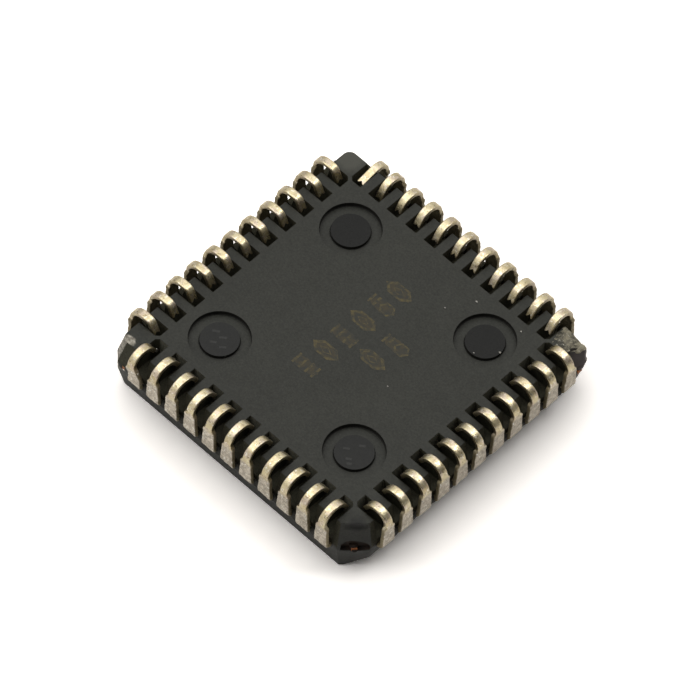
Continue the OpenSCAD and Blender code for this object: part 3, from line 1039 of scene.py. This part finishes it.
def lead_rows(place, edges, hook, aside, notch):
    """Rows across a lead, from its inner end to its tip.

    Each is: columns, the centre line at each, offset along the side, coat of solder, edge shade,
    which is also the painted shade of its inner skin.
    """
    base, fan = lead_offset(place), (MIDDLE - place) * FINGER_PITCH
    rows = []
    for r, level, heading, half in lead_path():
        k = smooth(level, LEAN_FROM, HOOK_Z) if heading == 90 else 0
        r, z = r + hook.lean * k, level + hook.rise * k
        coat = 1 - smooth(z, COAT_FROM, COAT_TO) if heading == 90 else 1.0
        offset = base + aside * k
        if heading == 0:
            coat = 0.3
            offset = fan + (base - fan) * min((r - FINGER_TIP) / FINGER_RUN, 1)
        xs = columns(*edges.halves(level, coat)) if heading == 90 else columns(half, half)
        shade = 0.35 + 0.5 * coat if heading == 90 else 0.9
        rows.append((xs, [(r, z, heading)] * len(xs), offset, coat, shade))
    start = hook.length - notch - 0.10
    for i in range(HOOK_STEPS):
        s = start * i / (HOOK_STEPS - 1)
        up = hook.outer_r * sin(min(s / hook.outer_r, 1.5))
        xs = columns(*edges.halves(HOOK_Z + up, 0.0))
        rows.append((xs, [hook.at(s)] * len(xs), base + aside, 0.0, 0.35))
    xs = columns(HOOK_HALF, HOOK_HALF)
    ends = [hook.length - notch * max(0.0, 1 - abs(x) / NOTCH_HALF) for x in xs]
    for i in range(1, TIP_STEPS + 1):
        line = [hook.at(start + (end - start) * (i / TIP_STEPS)) for end in ends]
        rows.append((xs, line, base + aside, 0.0, 0.7 if i == TIP_STEPS else 0.35))
    return rows


def lead_skins(side, rows, seed):
    """Points of a lead's outer skin, lumpy where solder coats it, and of its inner skin."""
    outer, inner = [], []
    for xs, line, offset, coat, _ in rows:
        for i, (x, (r, z, heading)) in enumerate(zip(xs, line)):
            a = radians(heading)
            out, up = sin(a), -cos(a)
            half = half_thickness(i, len(xs))
            p = Vector((r, x, z))
            lump = noise_at(p, 5.0, seed, 0) * 0.026 + noise_at(p, 11.0, seed, 1) * 0.018
            lump *= coat if heading > 0 else 0
            lump += 0.003 * noise_at(p, 4.0, seed, 2)
            thick = half + lump
            outer.append(side_point(side, r + out * thick, offset + x, z + up * thick))
            inner.append(side_point(side, r - out * half, offset + x, z - up * half))
    return outer + inner


def lead_faces(rows, cols):
    """Faces of a lead's two skins, its long edges and its two ends."""
    under = rows * cols
    faces = []
    for a in cells(rows, cols):
        b = a + under
        faces += [(a, a + 1, a + cols + 1, a + cols), (b + cols, b + cols + 1, b + 1, b)]
    for first in (0, cols - 1):
        for a in range(first, under - cols, cols):
            faces.append((a, a + cols, a + cols + under, a + under))
    for first in (0, under - cols):
        for a in range(first, first + cols - 1):
            faces.append((a, a + 1, a + 1 + under, a + under))
    return faces


def mark(mesh, name, values):
    """Writes one value for each point, which the shader of the leads reads."""
    mesh.attributes.new(name, "FLOAT", "POINT").data.foreach_set("value", values)


def edge_and_shade_marks(rows, cols):
    """How much of the cut edges' brown each point takes, and the inner skin's painted shade: its
    row's shade.
    """
    outer, inner = [], []
    for j, (*_, shade) in enumerate(rows):
        for i in range(cols):
            near = min(i, cols - 1 - i)
            share = 1.0 if near == 0 or j == len(rows) - 1 else 0.5 if near == 1 else 0.0
            outer.append(share * shade)
            inner.append(shade)
    return outer + inner


def build_lead(number, rise, lean, aside, bend, seed):
    """One lead. rise, lean and aside shift its hook up, outwards and along the side, in mm.

    bend gives the hook: outer radius, flat top, inner radius, last heading in degrees, straight tip.
    """
    rng = random.Random(seed)
    side, place = seat(number)
    notch = NOTCH_DEPTH[side] + rng.uniform(-0.05, 0.05)
    rows = lead_rows(place, Edges(rng, seed), Hook(rise, lean, bend), aside, notch)
    cols = len(rows[0][0])
    verts, faces = lead_skins(side, rows, seed), lead_faces(len(rows), cols)
    obj = piece("lead_%02d" % number, verts, faces, [LEAD], smooth_angle=50)
    mark(obj.data, "solder", [coat for *_, coat, _ in rows for _ in range(cols)] * 2)
    # the cut edges' brown, and painted shade over the inner skin
    mark(obj.data, "edge", edge_and_shade_marks(rows, cols))
    mark(obj.data, "shoulder_dim", [PIN_SHOULDER_DIM.get(number, SIDE_SHOULDER_DIM[side])] * len(verts))
    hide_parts("pin_%02d" % number)
    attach(obj, "root")


# How each side's hooks stand after use, in mm: up, outwards and along the side, then the bend
ROUND = (HOOK_R, 0.0, 0.60, 240, 0.36)
FLATTER = (HOOK_R, 0.06, 0.60, 240, 0.45)
SQUASHED = (HOOK_R, 0.25, 0.30, 245, 0.57)
LONGER = (HOOK_R, 0.0, 0.60, 240, 0.43)
SIDE_BENT = (
    (-0.03, 0.0, 0.0, ROUND),
    (0.0, 0.0, 0.0, FLATTER),
    (-0.19, 0.0, 0.0, SQUASHED),
    (-0.15, 0.04, 0.0, LONGER),
)
# Pins that are bent in their own way
BENT = {
    17: (-0.05, 0.17, -0.09, ROUND),
    18: (-0.25, -0.02, 0.085, SQUASHED),
    29: (-0.56, 0.12, -0.12, (0.62, 0.0, 0.62, 193, 1.0)),
    30: (-0.33, 0.05, 0.0, (HOOK_R, 0.0, 0.60, 240, 0.52)),
    31: (-0.32, 0.04, 0.0, LONGER),
    32: (-0.20, 0.04, 0.0, LONGER),
    33: (-0.18, 0.04, 0.0, LONGER),
    38: (-0.13, 0.04, 0.0, LONGER),
    39: (-0.05, 0.04, 0.0, LONGER),
}
# How much darker the shoulders of each side are, and the pins that differ from their side
SIDE_SHOULDER_DIM = (0.36, 0.0, 0.15, 0.10)
PIN_SHOULDER_DIM = {
    2: 0.46, 42: 0.46, 44: 0.46, 5: 0.20, 6: 0.24, 7: 0.20, 8: 0.18, 9: 0.18, 10: 0.24, 12: 0.12,
}


def leads():
    for number in range(1, 4 * PLACES + 1):
        side = seat(number)[0]
        rise, lean, aside, bend = BENT.get(number, SIDE_BENT[side])
        rng = random.Random(1000 + number)
        tip = bend[-1] + rng.uniform(-0.04, 0.04)
        rise += rng.uniform(-0.015, 0.015)
        build_lead(number, rise, lean, aside, (*bend[:-1], tip), number * 3 + 1)


# Pins that carry a drop of solder
BEADED = (*range(7, 18), 1, 3, 4, 41, 43)


def beads():
    """Drops of solder at the top corners of the shoulders."""
    rng = random.Random(77)
    for number in BEADED:
        side, place = seat(number)
        edge = 0.30 + rng.uniform(-0.03, 0.03)
        along = lead_offset(place) + edge * (1 if side else -1)
        at = side_point(side, LEAD_OUT + 0.005, along, 3.40 + rng.uniform(-0.05, 0.05))
        size = rng.uniform(0.030, 0.052)
        radii = (size, size, size * rng.uniform(0.9, 1.6))
        rubble("bead_%02d" % number, at, radii, 0.35, 20.0 + number, SOLDER, 2, "lead_plating")


leads()
beads()

# Parts kept from the CAD
KEPT = {"die_paddle": COPPER, "die_attach": EPOXY, "silicon_die": SILICON}
KEPT.update({"bond_wires_" + side: GOLD for side in ("front", "right", "back", "left")})
for node, material in KEPT.items():
    for slot in frame["nodes"][node].material_slots:
        slot.link = "OBJECT"
        slot.material = material

# The setting: a pale floor, in mm, and a pale studio with four lamps
FLOOR_HALF, FLOOR_DROP = 2000, 0.02
FLOOR_LIT, FLOOR_MIRRORED = (0.62, 0.61, 0.595), (0.86, 0.84, 0.82)
FLOOR_SEEN = (1.50, 1.456, 1.416)
SKY_TINT = (1, 0.985, 0.96)
AMBIENT, LOW_SKY = 0.80, 0.42
ROOM_SIDE, ROOM_DARK = (0.78, -0.50, 0.38), 0.15
BACK_WALL, WALL_GLOW = (-0.36, 0.93, 0.10), 1.7
# Lamps: name, direction they stand in, size in metres, power in watts
LAMPS = (
    ("softbox_top", (-0.30, -0.08, 0.95), (0.54, 0.54), 1.00),
    ("softbox_left", (-0.40, -0.46, 0.79), (0.30, 0.30), 0.20),
    ("softbox_right", (0.27, 0.41, 0.87), (0.12, 0.12), 0.30),
    ("reflector_low", (-0.36, -0.87, 0.34), (0.34, 0.26), 0.15),
)
LAMP_DISTANCE = 0.45


def stage():
    """A pale floor, brighter in reflections than it is lit, and overexposed for the camera."""
    s = Shader("floor")
    path = s.new("LightPath")
    seen = s.math("MAXIMUM", path.outputs["Is Glossy Ray"], path.outputs["Is Transmission Ray"])
    shade = s.mix(seen, FLOOR_LIT, FLOOR_MIRRORED)
    shade = s.mix(path.outputs["Is Camera Ray"], shade, FLOOR_SEEN)
    paper = s.new("BsdfDiffuse", Color=shade)
    s.fill(s.nodes["Material Output"], Surface=paper.outputs[0])
    corners = ((-1, -1), (1, -1), (1, 1), (-1, 1))
    verts = [(x * FLOOR_HALF, y * FLOOR_HALF, -FLOOR_DROP) for x, y in corners]
    floor = piece("floor", verts, [(0, 1, 2, 3)], [s.mat])


def world():
    """A pale studio, darker low down on the camera's side where it is open to the room."""
    w = bpy.data.worlds.new("studio")
    bpy.context.scene.world = w
    w.use_nodes = True
    tree = Nodes(w.node_tree)
    looking = tree.new("TexCoord").outputs["Generated"]

    def facing(direction, start, end, low, high):
        """low away from a direction and high towards it."""
        dot = tree.vector_math("DOT_PRODUCT", looking, Vector(direction).normalized())
        return tree.ramp(dot, start, end, low, high, "SMOOTHSTEP")

    room = facing(ROOM_SIDE, 0.15, 0.78, 1.0, ROOM_DARK)
    sky = facing((0, 0, 1), 0.0, 0.9, AMBIENT * LOW_SKY, AMBIENT)
    wall = facing(BACK_WALL, 0.55, 0.98, 1.0, WALL_GLOW)
    light = tree.math("MULTIPLY", tree.math("MULTIPLY", room, sky), wall)
    path = tree.new("LightPath")
    seen = tree.math("MAXIMUM", path.outputs["Is Camera Ray"], path.outputs["Is Transmission Ray"])
    strength = tree.ramp(seen, 0, 1, light, 1.0)
    tree.fill(tree.nodes["Background"], Color=colour(SKY_TINT), Strength=strength)


def area_light(name, direction, size, power):
    """A lamp that looks at the part from a direction."""
    d = Vector(direction).normalized()
    data = bpy.data.lights.new(name, "AREA")
    data.shape = "RECTANGLE"
    data.size, data.size_y = size
    data.energy = power
    obj = new_object(name, data)
    obj.location = d * LAMP_DISTANCE
    obj.rotation_mode = "QUATERNION"
    obj.rotation_quaternion = d.to_track_quat("Z", "Y")


# The photograph's camera: angles in degrees, distance and target in mm, focal length in pixels
AZIMUTH, ELEVATION, ROLL = 41.1727, 56.6832, 3.6887
DISTANCE, TARGET = 396.315, (-0.4009, 0.3208, 2.0)
FOCAL_PX, FRAME_PX, SENSOR = 8106.94, 700, 36


def camera():
    azimuth, elevation, roll = (radians(v) for v in (AZIMUTH, ELEVATION, ROLL))
    level = cos(elevation)
    back = Vector((sin(azimuth) * level, -cos(azimuth) * level, sin(elevation)))
    right = (-back).cross(Vector((0, 0, 1))).normalized()
    up = right.cross(-back)
    turned_right = right * cos(roll) + up * sin(roll)
    turned_up = up * cos(roll) - right * sin(roll)
    data = bpy.data.cameras.new("camera")
    data.sensor_width = SENSOR
    data.lens = FOCAL_PX * SENSOR / FRAME_PX
    data.clip_start, data.clip_end = 0.01, 10
    cam = new_object("camera", data)
    m = Matrix((turned_right, turned_up, back)).transposed().to_4x4()
    m.translation = (Vector(TARGET) + back * DISTANCE) * MM
    cam.matrix_world = m
    bpy.context.scene.camera = cam


stage()
world()
for lamp in LAMPS:
    area_light(*lamp)
camera()
bpy.context.scene.view_settings.view_transform = "Standard"
